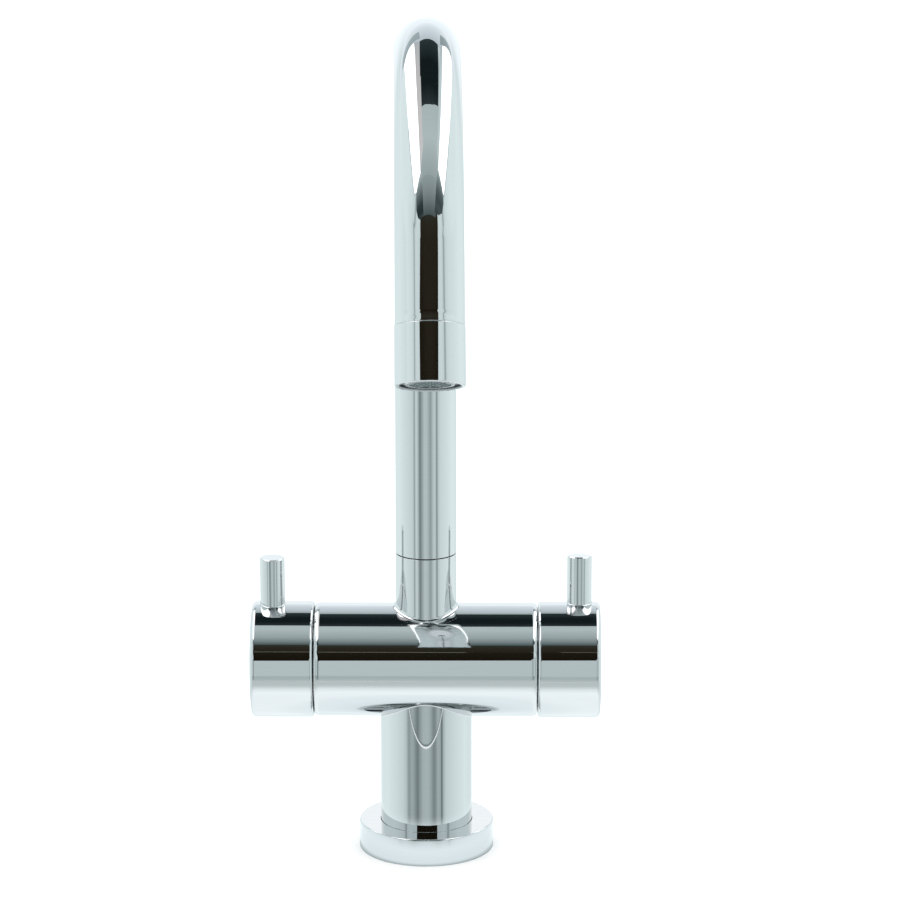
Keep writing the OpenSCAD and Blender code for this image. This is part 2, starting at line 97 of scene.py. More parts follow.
def dress(material, *names):
    """Puts a finish on nodes that keep their shape."""
    for name in names:
        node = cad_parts[name]
        node.data.materials.clear()
        node.data.materials.append(material)


def moulded_rubber():
    material, nodes, links, shader, grain = finish(
        "rubber", (0.02, 0.02, 0.021), metallic=0, roughness=0.55, spread=0.12,
        scale=900, bump=0.25, distance=0.05 * MM)
    coloured_by(nodes, links, shader, grain, (0.3, (0.012, 0.012, 0.013)), (0.7, (0.035, 0.035, 0.037)))
    return material


rubber = moulded_rubber()
dress(rubber, "base_seal")


# Deck flange. It is a loose brass ring, turned and chromed, that drops over the foot of the
# pillar and covers the hole in the deck; its top edge is only just rounded.
def polished_chrome():
    """Chrome over hand-polished brass: mirror bright, with faint waves and hairline wipe marks."""
    material, nodes, links, shader, _ = finish(
        "chrome", (0.63, 0.64, 0.65), metallic=1, roughness=0.022, spread=0.008,
        scale=260, bump=0.02, distance=0.02 * MM)
    place = next(node for node in nodes if node.type == "TEX_COORD")
    hairlines = nodes.new("ShaderNodeTexNoise")
    hairlines.inputs["Scale"].default_value = 90
    hairlines.inputs["Detail"].default_value = 8
    stretch = nodes.new("ShaderNodeMapping")
    stretch.inputs["Scale"].default_value = (1, 9, 60)
    stretch.inputs["Rotation"].default_value = (0.5, 0.3, 0.8)
    links.new(place.outputs["Object"], stretch.inputs["Vector"])
    links.new(stretch.outputs["Vector"], hairlines.inputs["Vector"])
    coloured_by(nodes, links, shader, hairlines,
                (0.3, (0.61, 0.627, 0.637)), (0.75, (0.645, 0.658, 0.665)))
    return material


def outline(corners, closed=False, steps=5):
    """Rounded outline in the plane of radius and height, as rows of radius, height and the normal.
    Each corner is radius, height and rounding. Material lies on the left of the way round."""
    points = np.array([corner[:2] for corner in corners], float)
    count = len(corners)
    rows = []
    for k in range(count):
        here = points[k]
        before = points[k - 1] if closed or k > 0 else None
        after = points[(k + 1) % count] if closed or k < count - 1 else None
        inward = None if before is None else (here - before) / np.linalg.norm(here - before)
        onward = None if after is None else (after - here) / np.linalg.norm(after - here)
        inward = onward if inward is None else inward
        onward = inward if onward is None else onward
        first = np.array([inward[1], -inward[0]])
        last = np.array([onward[1], -onward[0]])
        turn = math.atan2(inward[0] * onward[1] - inward[1] * onward[0], inward @ onward)
        radius = corners[k][2] if len(corners[k]) > 2 else 0
        if abs(turn) < 1e-6:
            rows.append([*here, *first])
            continue
        if radius == 0:
            rows.append([*here, *first])
            rows.append([*here, *last])
            continue
        way = math.copysign(1, turn)
        start = here - inward * radius * math.tan(abs(turn) / 2)
        centre = start - way * first * radius
        for step in range(steps + 1):
            angle = turn * step / steps
            normal = np.array([first[0] * math.cos(angle) - first[1] * math.sin(angle),
                               first[0] * math.sin(angle) + first[1] * math.cos(angle)])
            rows.append([*(centre + way * normal * radius), *normal])
    if closed:
        rows.append(rows[0])
    return np.array(rows)


def skin(points, normals, around=False):
    """Quads over rows and columns of points, facing the way of their normals."""
    rows, columns = points.shape[:2]
    index = np.arange(rows * columns).reshape(rows, columns)
    if around:
        index = np.concatenate([index, index[:, :1]], axis=1)
    quads = np.stack([index[:-1, :-1], index[:-1, 1:], index[1:, 1:], index[1:, :-1]], axis=-1)
    quads = quads.reshape(-1, 4)
    flat = points.reshape(-1, 3)
    facing = normals.reshape(-1, 3)
    corner = [flat[quads[:, k]] for k in range(4)]
    across = np.cross(corner[2] - corner[0], corner[3] - corner[1])
    if (across * facing[quads].sum(axis=1)).sum() < 0:
        quads = quads[:, ::-1]
    return flat, facing, quads


UPRIGHT = (np.zeros(3), np.eye(3))
FULL_TURN = np.radians(np.arange(0, 360, 2))


def turned(rows, place=UPRIGHT, angles=FULL_TURN):
    """Outline turned about the third axis of a place, which is a centre and three axes."""
    centre, axes = place
    radial = np.cos(angles)[:, None] * axes[0] + np.sin(angles)[:, None] * axes[1]
    points = rows[:, None, :1] * radial + rows[:, None, 1:2] * axes[2] + centre
    normals = rows[:, None, 2:3] * radial + rows[:, None, 3:4] * axes[2]
    return skin(points, normals, around=True)


def piece(name, skins, material, body, *nodes):
    """One closed mesh from skins that meet at their edges, riding on a body in place of nodes."""
    points = np.concatenate([s[0] for s in skins])
    normals = np.concatenate([s[1] for s in skins])
    weld = 0.0002 * MM
    _, first, same = np.unique(np.round(points / weld).astype(np.int64), axis=0,
                               return_index=True, return_inverse=True)
    same = same.ravel()
    faces = []
    corner_normals = []
    start = 0
    for flat, _, polygons in skins:
        for polygon in polygons:
            kept = []
            for corner in polygon:
                if all(same[corner + start] != same[other] for other in kept):
                    kept.append(corner + start)
            if len(kept) > 2:
                faces.append([int(same[k]) for k in kept])
                corner_normals += [normals[k] for k in kept]
        start += len(flat)
    mesh = bpy.data.meshes.new(name)
    mesh.from_pydata(points[first].tolist(), [], faces)
    mesh.polygons.foreach_set("use_smooth", [True] * len(mesh.polygons))
    mesh.normals_split_custom_set([tuple(n) for n in corner_normals])
    mesh.materials.append(material)
    made = bpy.data.objects.new(name, mesh)
    bpy.context.scene.collection.objects.link(made)
    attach(made, body)
    if nodes:
        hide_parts(*nodes)
    return made


chrome = polished_chrome()
flange_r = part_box("base_flange")[1].x
flange_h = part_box("base_flange")[1].z
flange_bore = 21.35 * MM
flange_roof = 3 * MM
top_round = 0.8 * MM
bore_round = 0.2 * MM
foot_round = 0.15 * MM
groove_round = 0.1 * MM
foot_wall = 2.4 * MM
groove_depth = 3 * MM
groove_step = 1 * MM
inner_foot = flange_bore + foot_wall - 0.15 * MM
inner_wall = flange_bore + foot_wall + groove_step
outer_foot = flange_r - foot_wall
outer_wall = outer_foot - groove_step
flange_angles = np.radians(np.arange(0, 360, 1.5))
flange_outline = outline([
    (flange_bore, flange_h, bore_round),
    (flange_bore, 0, groove_round),
    (inner_foot, 0, groove_round),
    (inner_foot, groove_depth),
    (inner_wall, groove_depth),
    (inner_wall, flange_h - flange_roof),
    (outer_wall, flange_h - flange_roof),
    (outer_wall, groove_depth),
    (outer_foot, groove_depth),
    (outer_foot, 0, groove_round),
    (flange_r, 0, foot_round),
    (flange_r, flange_h, top_round),
], closed=True, steps=8)
piece("flange_ring", [turned(flange_outline, angles=flange_angles)], chrome, "tap_body", "base_flange")


# Body. It is one brass casting, polished and chromed: a pillar, a barrel across it and a socket
# for the spout, with small fillets where the round bars meet. The ports are cut in its foot.
barrel_z = 90.4 * MM
barrel_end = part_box("mixer_body")[1].x
barrel_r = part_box("mixer_body")[1].y
rim_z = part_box("mixer_body")[1].z
pillar_r = 21.2 * MM
pillar_fillet = 1 * MM
socket_r = -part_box("spout_tube")[0].x
socket_fillet = 2.1 * MM
socket_bore = 11 * MM
socket_depth = 31 * MM
barrel_edge = 1.33 * MM
barrel_edge_drop = 0.84 * MM
barrel_edge_round = 5.1 * MM
chamber_r = 10.5 * MM
chamber_depth = 27.5 * MM
saddle_reach = 30 * MM
AXIS_X = np.array([[0, 0, 1], [0, 1, 0], [1, 0, 0]], float)


def on_bar(radius, along, turn, axes=AXIS_X):
    """Points and normals of a round bar, from the place along it and the turn about it."""
    along, turn = np.broadcast_arrays(along, turn)
    normals = np.cos(turn)[..., None] * axes[0] + np.sin(turn)[..., None] * axes[1]
    return normals * radius + along[..., None] * axes[2], normals


def border(along, turn):
    """Once round a rectangle of grid lines, as places along a bar and turns about it."""
    places = np.concatenate([along[:-1], np.full(len(turn) - 1, along[-1]),
                             along[:0:-1], np.full(len(turn) - 1, along[0])])
    turns = np.concatenate([np.full(len(along) - 1, turn[0]), turn[:-1],
                            np.full(len(along) - 1, turn[-1]), turn[:0:-1]])
    return places, turns


def round_hole(radius, along, turn, hole_along, hole_turn, centre, axes=AXIS_X, rings=8):
    """Skin of a bar between a rectangle of grid lines and the edge of a hole."""
    places, turns = border(along, turn)
    crowding = 1.4
    share = (np.linspace(0, 1, rings + 1) ** crowding)[:, None]
    points, normals = on_bar(radius, hole_along + (places - hole_along) * share,
                             hole_turn + (turns - hole_turn) * share, axes)
    return skin(points + centre, normals, around=True)


def saddle(post_r, bar_r, ball_r, angles, way, steps=8):
    """Fillet that a rolling ball leaves between an upright post and a bar along X, upwards for
    way 1 and downwards for way -1. Gives its points and normals, post edge first, and the place
    and turn of its edge on the bar."""
    x = (post_r + ball_r) * np.cos(angles)
    y = (post_r + ball_r) * np.sin(angles)
    centre = np.stack([x, y, way * np.sqrt((bar_r + ball_r) ** 2 - y ** 2)], axis=1)
    to_post = -np.stack([np.cos(angles), np.sin(angles), 0 * angles], axis=1)
    to_bar = -centre * np.array([0, 1, 1])
    to_bar /= np.linalg.norm(to_bar, axis=1, keepdims=True)
    swing = np.arccos((to_post * to_bar).sum(axis=1))[None, :, None]
    share = np.linspace(0, 1, steps + 1)[:, None, None]
    spoke = (np.sin((1 - share) * swing) * to_post + np.sin(share * swing) * to_bar) / np.sin(swing)
    return centre + ball_r * spoke, -spoke, centre[:, 0], np.arctan2(centre[:, 1], centre[:, 2])


def spread_lines(half, count=30):
    """Grid lines either side of zero that a fan of equal angles cuts on a straight edge."""
    return half * np.tan(np.radians(np.linspace(-45, 45, 2 * count + 1)))


def body_casting():
    """Barrel with a saddle above and below, its crowned ends and valve chambers, socket and pillar."""
    middle = np.array([0, 0, barrel_z])
    window = spread_lines(saddle_reach)
    quarter = spread_lines(math.pi / 2)
    skins = []
    edges = {}
    for way, post_r, ball_r, facing in ((1, socket_r, socket_fillet, 0),
                                        (-1, pillar_r, pillar_fillet, math.pi)):
        places, turns = border(window, quarter)
        angles = way * np.arctan2(turns / quarter[-1], places / window[-1])
        points, normals, along, turn = saddle(post_r, barrel_r, ball_r, angles, way)
        turn = np.where(turn < facing - math.pi / 2, turn + 2 * math.pi, turn)
        skins.append(skin(points + middle, normals, around=True))
        skins.append(round_hole(barrel_r, window, quarter + facing, along, turn, middle))
        edges[way] = angles, points[0] + middle
    turns = np.concatenate([quarter[:-1], quarter[:-1] + math.pi])
    for side in (1, -1):
        axes = AXIS_X * np.array([[1], [1], [side]])
        skins.append(turned(outline([
            (barrel_r, window[-1]),
            (barrel_r, barrel_end - barrel_edge, barrel_edge_round),
            (barrel_r - barrel_edge_drop, barrel_end, 0.15 * MM),
            (chamber_r, barrel_end, 0.3 * MM),
            (chamber_r, barrel_end - chamber_depth),
            (0, barrel_end - chamber_depth),
        ], steps=8), (middle, axes), turns))
    skins += socket_skins(*edges[1])
    skins += pillar_skins(*edges[-1])
    return skins


def socket_skins(angles, foot):
    """Socket wall from its fillet up, with the lock screw's hole at the back, and its bore."""
    axes = np.eye(3)
    from_right = np.mod(angles + math.pi / 2, 2 * math.pi)
    order = np.argsort(from_right)
    angles = from_right[order] - math.pi / 2
    foot = foot[order]
    screw_z = (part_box("spout_lock_screw")[0].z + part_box("spout_lock_screw")[1].z) / 2
    hole_r = 2.05 * MM
    hole_depth = 2.8 * MM
    reach = 4.2 * MM
    beside = np.abs(angles - math.pi / 2) < reach / socket_r
    window = angles[beside]
    heights = screw_z + spread_lines(reach, 8)
    zero = np.zeros(3)
    radial = np.stack([np.cos(angles), np.sin(angles), 0 * angles], axis=1)
    levels = np.stack([foot, radial * socket_r + np.array([0, 0, heights[0]])])
    skins = [skin(levels, np.stack([radial, radial]), around=True)]
    places, turns = border(heights, window)
    way = np.arctan2((turns - math.pi / 2) * socket_r, places - screw_z)
    hole_along = screw_z + hole_r * np.cos(way)
    hole_turn = math.pi / 2 + np.arcsin(hole_r * np.sin(way) / socket_r)
    skins.append(round_hole(socket_r, heights, window, hole_along, hole_turn, zero, axes))
    points, normals = on_bar(socket_r, hole_along, hole_turn, axes)
    inner = points.copy()
    inner[:, 1] = socket_r - hole_depth
    to_middle = np.array([0, 0, screw_z]) - points * np.array([1, 0, 1])
    to_middle /= np.linalg.norm(to_middle, axis=1, keepdims=True)
    skins.append(skin(np.stack([points, inner]), np.stack([to_middle, to_middle]), around=True))
    slack = 1e-9
    rest = np.concatenate([angles[angles >= window[-1] - slack],
                           angles[angles <= window[0] + slack] + 2 * math.pi])
    points, normals = on_bar(socket_r, heights[[0, -1]][:, None], rest[None, :], axes)
    skins.append(skin(points, normals))
    skins.append(turned(outline([
        (socket_r, heights[-1]),
        (socket_r, rim_z, 0.12 * MM),
        (socket_bore, rim_z, 0.4 * MM),
        (socket_bore, rim_z - socket_depth),
        (0, rim_z - socket_depth),
    ], steps=4), angles=angles))
    return skins


def threaded_port(radius, pitch, depth, bore, end):
    """Outline of a tapped hole in the underside, from its mouth up to a closed end."""
    corners = [(bore, end), (bore, depth), (radius, depth)] if bore else [(radius, depth)]
    crest = radius - 0.55 * pitch
    for turn in range(int(depth / pitch) - 1, 0, -1):
        corners.append((radius, (turn + 0.5) * pitch))
        corners.append((crest, turn * pitch))
    corners.append((radius, 0.7 * pitch))
    corners.append((radius, 0))
    corners.insert(0, (0, end if bore else depth))
    return outline(corners)


def pillar_skins(angles, foot):
    """Pillar wall from its fillet down to the deck, and the foot with its four ports."""
    whole = np.mod(angles, 2 * math.pi)
    order = np.argsort(whole)
    angles = whole[order]
    foot = foot[order]
    radial = np.stack([np.cos(angles), np.sin(angles), 0 * angles], axis=1)
    low = 2 * MM
    foot_r = pillar_r - 1 * MM
    levels = np.stack([foot, radial * pillar_r + np.array([0, 0, low])])
    skins = [skin(levels, np.stack([radial, radial]), around=True)]
    skins.append(turned(outline([
        (foot_r, 0),
        (pillar_r, 0, 0.4 * MM),
        (pillar_r, low),
    ]), angles=angles))
    loops = [[Vector((x * foot_r, y * foot_r, 0)) for x, y, _ in radial]]
    ring = np.radians(np.arange(0, 360, 7.5))
    # Sizes of the ports in millimetres: two inlets with a waterway above, and two blind stud holes.
    inlet = {"radius": 5, "pitch": 1, "depth": 12, "bore": 4, "end": 50}
    stud_hole = {"radius": 4, "pitch": 1.25, "depth": 14, "bore": 0, "end": 0}
    for x, y, port in ((-9, 0, inlet), (9, 0, inlet), (0, 11.5, stud_hole), (0, -11.5, stud_hole)):
        centre = np.array([x, y, 0]) * MM
        sizes = {what: length * MM for what, length in port.items()}
        skins.append(turned(threaded_port(**sizes), (centre, np.eye(3)), ring))
        mouth = sizes["radius"]
        loops.append([Vector((centre[0] + mouth * math.cos(a), centre[1] + mouth * math.sin(a), 0))
                      for a in ring])
    flat = np.array([tuple(point) for loop in loops for point in loop])
    down = np.tile([0.0, 0.0, -1.0], (len(flat), 1))
    faces = []
    for face in tessellate_polygon(loops):
        a, b, c = (flat[k] for k in face)
        faces.append(face if np.cross(b - a, c - a)[2] < 0 else face[::-1])
    skins.append((flat, down, faces))
    return skins


piece("body_casting", body_casting(), chrome, "tap_body", "mixer_body")


# Quarter-turn valves, one at each end of the barrel. The bodies and spindles are turned brass,
# the discs are lapped ceramic, and acetal and rubber rings take the wear and the water.
def turned_brass():
    material, nodes, links, shader, grain = finish(
        "brass", (0.72, 0.5, 0.22), metallic=1, roughness=0.24, spread=0.08,
        scale=500, bump=0.1, distance=0.02 * MM)
    coloured_by(nodes, links, shader, grain, (0.3, (0.62, 0.42, 0.17)), (0.7, (0.8, 0.6, 0.3)))
    return material


def bright_steel():
    material, nodes, links, shader, grain = finish(
        "steel", (0.6, 0.6, 0.6), metallic=1, roughness=0.22, spread=0.07,
        scale=700, bump=0.08, distance=0.02 * MM)
    coloured_by(nodes, links, shader, grain, (0.3, (0.5, 0.51, 0.52)), (0.7, (0.66, 0.67, 0.68)))
    return material


def moulded_acetal(name, colour):
    material, nodes, links, shader, grain = finish(
        name, colour, metallic=0, roughness=0.38, spread=0.06,
        scale=400, bump=0.06, distance=0.02 * MM, slot="acetal")
    darker, lighter = (tuple(share * c for c in colour) for share in (0.9, 1.05))
    coloured_by(nodes, links, shader, grain, (0.3, darker), (0.7, lighter))
    return material


def lapped_ceramic():
    material, nodes, links, shader, grain = finish(
        "ceramic", (0.88, 0.86, 0.8), metallic=0, roughness=0.12, spread=0.04,
        scale=1200, bump=0.03, distance=0.01 * MM)
    coloured_by(nodes, links, shader, grain, (0.3, (0.82, 0.8, 0.74)), (0.7, (0.92, 0.9, 0.85)))
    return material


brass = turned_brass()
steel = bright_steel()
acetal = moulded_acetal("white_acetal", (0.8, 0.8, 0.77))
ceramic = lapped_ceramic()
for side in ("left_", "right_"):
    dress(brass, side + "valve_body", side + "valve_spindle")
    dress(ceramic, side + "fixed_disc", side + "moving_disc")
    dress(acetal, side + "thrust_washer", side + "spline_bush")
    dress(rubber, side + "seat_seal", side + "valve_washer", side + "spindle_o_rings")
    dress(steel, side + "spindle_clip")


# Handle drums. Each is a chromed brass cup, a little wider than the barrel, that the hand turns;
# a grub screw in its underside locks it on the spindle's bush.
drum_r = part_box("left_handle_drum")[1].y
drum_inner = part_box("right_handle_drum")[0].x
drum_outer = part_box("right_handle_drum")[1].x
drum_wall = 2.4 * MM
drum_face = 3 * MM
lever_x = drum_outer - 9.7 * MM
right_lean = math.radians(6)
bush_top = 15 * MM


def drum_axes(side):
    """Axes of a drum: its lever's direction, the direction across, and outwards along the barrel."""
    lean = right_lean if side > 0 else 0
    lever = np.array([0, math.sin(lean), math.cos(lean)])
    across = np.array([0, math.cos(lean), -math.sin(lean)])
    return np.stack([lever, across, np.array([side, 0, 0])])


def drum_skins(side):
    """Cup open to the barrel, with the set screw's hole in its underside down to the bush."""
    middle = np.array([0, 0, barrel_z])
    axes = drum_axes(side)
    hole_r = 2.55 * MM
    reach = 6 * MM
    along = lever_x + spread_lines(reach, 8)
    window = math.pi + spread_lines(reach / drum_r, 8)
    lines = 170
    others = window[-1] + (window[0] + 2 * math.pi - window[-1]) * np.linspace(0, 1, lines)[1:-1]
    turns = np.concatenate([window, others])
    places, around = border(along, window)
    way = np.arctan2((around - math.pi) * drum_r, places - lever_x)
    hole_along = lever_x + hole_r * np.cos(way)
    hole_turn = math.pi + np.arcsin(hole_r * np.sin(way) / drum_r)
    skins = [round_hole(drum_r, along, window, hole_along, hole_turn, middle, axes, 6)]
    points, _ = on_bar(drum_r, hole_along, hole_turn, axes)
    drop = points @ axes[0]
    floor = -bush_top
    inner = points + (floor - drop)[:, None] * axes[0]
    centre = lever_x * axes[2]
    to_middle = centre - (points - drop[:, None] * axes[0])
    to_middle /= np.linalg.norm(to_middle, axis=1, keepdims=True)
    skins.append(skin(np.stack([points, inner]) + middle, np.stack([to_middle, to_middle]), around=True))
    base = np.broadcast_to(centre + floor * axes[0], inner.shape)
    down = np.broadcast_to(-axes[0], inner.shape)
    skins.append(skin(np.stack([inner, base]) + middle, np.stack([down, down]), around=True))
    rest = np.concatenate([[window[-1]], others, [window[0] + 2 * math.pi]])
    points, normals = on_bar(drum_r, along[[0, -1]][:, None], rest[None, :], axes)
    skins.append(skin(points + middle, normals))
    inner_r = drum_r - drum_wall
    skins.append(turned(outline([
        (0, drum_outer - drum_face),
        (inner_r, drum_outer - drum_face, 1 * MM),
        (inner_r, drum_inner, 0.3 * MM),
        (drum_r, drum_inner, 1.5 * MM),
        (drum_r, along[0]),
    ], steps=8), (middle, axes), turns))
    skins.append(turned(outline([
        (drum_r, along[-1]),
        (drum_r, drum_outer, 2.4 * MM),
        (0, drum_outer),
    ], steps=12), (middle, axes), turns))
    return skins


for name, side in (("left", -1), ("right", 1)):
    piece(name + "_drum_cup", drum_skins(side), chrome, name + "_handle", name + "_handle_drum")
    dress(steel, name + "_set_screw")


# Levers. Each is a short chromed rod screwed into its drum; the foot is cut to the drum's curve
# and blended into it, and the top edge is lightly chamfered.
lever_r = 5.75 * MM
lever_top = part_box("left_lever_pin")[1].z - barrel_z
lever_fillet = 0.4 * MM
lever_chamfer = 0.4 * MM
stud_r = 3 * MM
stud_len = 9 * MM


def lever_skins(side):
    """Rod with its blended foot, and the threaded stud that holds it in the drum."""
    middle = np.array([0, 0, barrel_z])
    axes = drum_axes(side)
    root = middle + axes[2] * lever_x
    upright = np.stack([axes[2], axes[1], axes[0]])
    angles = np.radians(np.arange(0, 360, 3))
    points, normals, _, _ = saddle(lever_r, drum_r, lever_fillet, angles, 1)
    points = points @ upright + root
    normals = normals @ upright
    skins = [skin(points, normals, around=True)]
    radial = np.cos(angles)[:, None] * upright[0] + np.sin(angles)[:, None] * upright[1]
    low = drum_r + 1.2 * MM
    levels = np.stack([points[0], radial * lever_r + upright[2] * low + root])
    skins.append(skin(levels, np.stack([radial, radial]), around=True))
    skins.append(turned(outline([
        (lever_r, low),
        (lever_r, lever_top - lever_chamfer, 0.15 * MM),
        (lever_r - lever_chamfer, lever_top, 0.2 * MM),
        (0, lever_top),
    ], steps=4), (root, upright), angles))
    sunk = drum_r - 1.5 * MM
    below = radial * stud_r + upright[2] * sunk + root
    down = np.broadcast_to(-upright[2], below.shape)
    skins.append(skin(np.stack([points[-1], below]), np.stack([down, down]), around=True))
    pitch = 1 * MM
    root_r = stud_r - 0.5 * pitch
    corners = [(0, drum_r - stud_len), (root_r, drum_r - stud_len)]
    for turn in range(7):
        corners.append((stud_r, drum_r - 8.5 * MM + turn * pitch))
        corners.append((root_r, drum_r - 8 * MM + turn * pitch))
    corners.append((stud_r, sunk))
    skins.append(turned(outline(corners), (root, upright), angles))
    return skins


for name, side in (("left", -1), ("right", 1)):
    piece(name + "_lever_rod", lever_skins(side), chrome, name + "_handle", name + "_lever_pin")


# Spout foot. A turned brass spigot, soldered into the tube, runs in the socket on two rubber
# rings; an acetal washer lies in the seam, and a steel screw at the back keeps the spigot in.
dress(brass, "spout_spigot")
dress(rubber, "spout_o_rings")
# The washer is made black as painted shade, so the thin gap of the seam shows dark.
dress(moulded_acetal("seam_shade_acetal", (0.02, 0.02, 0.02)), "spout_slip_washer")
dress(steel, "spout_lock_screw")


# Swan neck. It is one drawn brass tube, bent on a mandrel and chromed: a straight riser, a bend
# of a little less than a half turn, and a straight tip that the nozzle is pressed into.
tube_r = -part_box("spout_tube")[0].x
tube_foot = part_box("spout_tube")[0].z
bend_r = 101.2 * MM
bend_turn = math.radians(158.4)
bend_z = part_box("spout_tube")[1].z - tube_r - bend_r
tip_len = 32.5 * MM
tube_bore = tube_r - 1.3 * MM
tube_foot_round = 0.12 * MM
tube_tip_round = 0.15 * MM
# Heights above the nozzle's seam: rings of the tip in millimetres, and where the end leans out by
# how many degrees.
tip_rings = (20, 10, 5.2, 4.9, 4.6, 4.4, 4.2, 4, 3.8, 3.5, 3.2, 2.8, 2.4, 2, 1.6, 1.2, 0.8, 0.4, 0.15)
swell_heights = np.array([0.3, 1.6, 3.2, 4, 4.6]) * MM
swell_slopes = [0, 5, 0, -1.5, 0]
spout_swing = math.radians(1.5)
SWUNG = np.array([[math.cos(spout_swing), math.sin(spout_swing), 0],
                  [-math.sin(spout_swing), math.cos(spout_swing), 0], [0, 0, 1]])


def swan_neck():
    """Centres and outward directions along the tube, in the plane that the spout is swung to, and
    how much the end swells, in radius and in slope, where the nozzle was pressed in."""
    runs = [(0, 0, tube_foot + tube_foot_round, 0)]
    for z in np.linspace(tube_foot + 0.6 * MM, bend_z, 12)[:-1]:
        runs.append((0, 0, z, 0))
    for turn in np.linspace(0, bend_turn, 80):
        runs.append((0, bend_r * (math.cos(turn) - 1), bend_z + bend_r * math.sin(turn), turn))
    _, y, z, _ = runs[-1]
    flow = np.array([0, -math.sin(bend_turn), math.cos(bend_turn)])
    for above in tip_rings:
        along = tip_len - above * MM
        runs.append((0, y + flow[1] * along, z + flow[2] * along, bend_turn))
    centres = np.array([run[:3] for run in runs])
    out = np.array([[0, math.cos(run[3]), math.sin(run[3])] for run in runs])
    step = np.linalg.norm(np.diff(centres, axis=0), axis=1)
    above = np.concatenate([[0], np.cumsum(step[::-1])])[::-1] + tube_tip_round
    slope = np.radians(np.interp(above, swell_heights, swell_slopes))
    swell = np.concatenate([[0], np.cumsum((slope[:-1] + slope[1:]) / 2 * step)])
    return centres @ SWUNG, out @ SWUNG, swell[:, None, None], slope[:, None, None]


def tube_skins():
    """Outside and bore of the tube, closed by a rounded rim at either end."""
    centres, out, swell, slope = swan_neck()
    angles = np.radians(np.arange(0, 360, 2.5))
    side = SWUNG[0]
    normals = np.cos(angles)[None, :, None] * out[:, None, :] + np.sin(angles)[None, :, None] * side
    outer = centres[:, None, :] + normals * (tube_r + swell)
    inner = centres[:, None, :] + normals * tube_bore
    along = np.cross(side, out)
    facing = np.cos(slope) * normals - np.sin(slope) * along[:, None, :]
    skins = [skin(outer, facing, around=True), skin(inner, -normals, around=True)]
    for end, beside, edge in ((0, 1, tube_foot_round), (-1, -2, tube_tip_round)):
        to_end = along[end]
        if to_end @ (centres[beside] - centres[end]) > 0:
            to_end = -to_end
        share = np.radians(np.linspace(0, 90, 5))[:, None, None]
        lean = np.cos(share) * normals[end][None] + np.sin(share) * to_end
        start = centres[end] + normals[end] * (tube_r + swell[end] - edge)
        skins.append(skin(start[None] + lean * edge, lean, around=True))
        rim = np.stack([start + to_end * edge, centres[end] + normals[end] * tube_bore + to_end * edge])
        flat = np.broadcast_to(to_end, rim.shape)
        skins.append(skin(rim, flat, around=True))
        lip = np.stack([rim[1], inner[end]])
        skins.append(skin(lip, np.stack([-normals[end], -normals[end]]), around=True))
    return skins


piece("swan_neck_tube", tube_skins(), chrome, "spout", "spout_tube")


# Nozzle. It is a chromed brass collar, turned a little wider than the tube and pressed into it,
# with a fine thread in its mouth for the aerator; the mouth is finished dark grey as painted shade.
flow = np.array([0, -math.sin(bend_turn), math.cos(bend_turn)]) @ SWUNG
bend_end = np.array([0, bend_r * (math.cos(bend_turn) - 1),
                     bend_z + bend_r * math.sin(bend_turn)]) @ SWUNG
tip = (bend_end + flow * tip_len, np.stack([SWUNG[0], np.cross(flow, SWUNG[0]), flow]))
nozzle_r = 14.2 * MM
nozzle_len = 24 * MM
outlet_r = 12.15 * MM
outlet_floor = 9 * MM
outlet_ledge = 2.6 * MM
neck_r = tube_bore - 0.05 * MM
neck_len = 8 * MM


def nozzle_outline():
    """Neck that goes into the tube, collar, and mouth with its thread and the washer's ledge."""
    corners = [
        (outlet_r - outlet_ledge, outlet_floor),
        (outlet_r - outlet_ledge, -neck_len),
        (neck_r, -neck_len, 0.3 * MM),
        (neck_r, 0),
        (nozzle_r, 0, 0.3 * MM),
        (nozzle_r, nozzle_len, 0.45 * MM),
        (outlet_r + 0.5 * MM, nozzle_len, 0.15 * MM),
        (outlet_r, nozzle_len - 0.5 * MM),
    ]
    pitch = 1 * MM
    height = nozzle_len - 1.5 * MM
    while height > nozzle_len - 3.5 * MM:
        corners.append((outlet_r, height + 0.45 * pitch))
        corners.append((outlet_r + 0.4 * pitch, height))
        corners.append((outlet_r, height - 0.45 * pitch))
        height -= pitch
    corners.append((outlet_r, outlet_floor))
    return outline(corners, closed=True, steps=6)


collar = piece("nozzle_collar", [turned(nozzle_outline(), tip, np.radians(np.arange(0, 360, 2)))],
               chrome, "spout", "nozzle")
# Dark grey finish on the mouth's thread and walls: painted shade for the shade deep inside the mouth.
mouth_painted_shade = finish(
    "mouth_painted_shade", (0.24, 0.26, 0.27), metallic=1, roughness=0.36, spread=0.08,
    scale=500, bump=0.1, distance=0.02 * MM, slot="chrome")[0]
collar.data.materials.append(mouth_painted_shade)
for polygon in collar.data.polygons:
    offset = np.array(polygon.center) - tip[0]
    along = offset @ flow
    off_axis = np.linalg.norm(offset - along * flow)
    in_painted_shade = off_axis < outlet_r + 0.45 * MM and along > outlet_floor - 0.1 * MM
    polygon.material_index = int(in_painted_shade)


# Aerator. A stainless housing screws into the nozzle on a rubber washer, and holds a pressed
# screen and a grey acetal honeycomb that breaks the stream up; its dark grey is partly painted shade.
dress(rubber, "aerator_washer")
dress(steel, "aerator_housing", "aerator_mesh")
# The honeycomb's dark blue-grey is partly its own grey plastic and partly painted shade, for the shade
# inside the nozzle.
dress(moulded_acetal("grey_and_shade_acetal", (0.14, 0.185, 0.195)), "aerator_honeycomb")


# Studio. The tap stands on a white board in a white tent. What its chrome mirrors is the cloth,
# two ceiling lamps beside a dark gap, the legs of a stand and the dark opening it is seen through.
mirror_strength = 1.56
matt_strength = 1.5


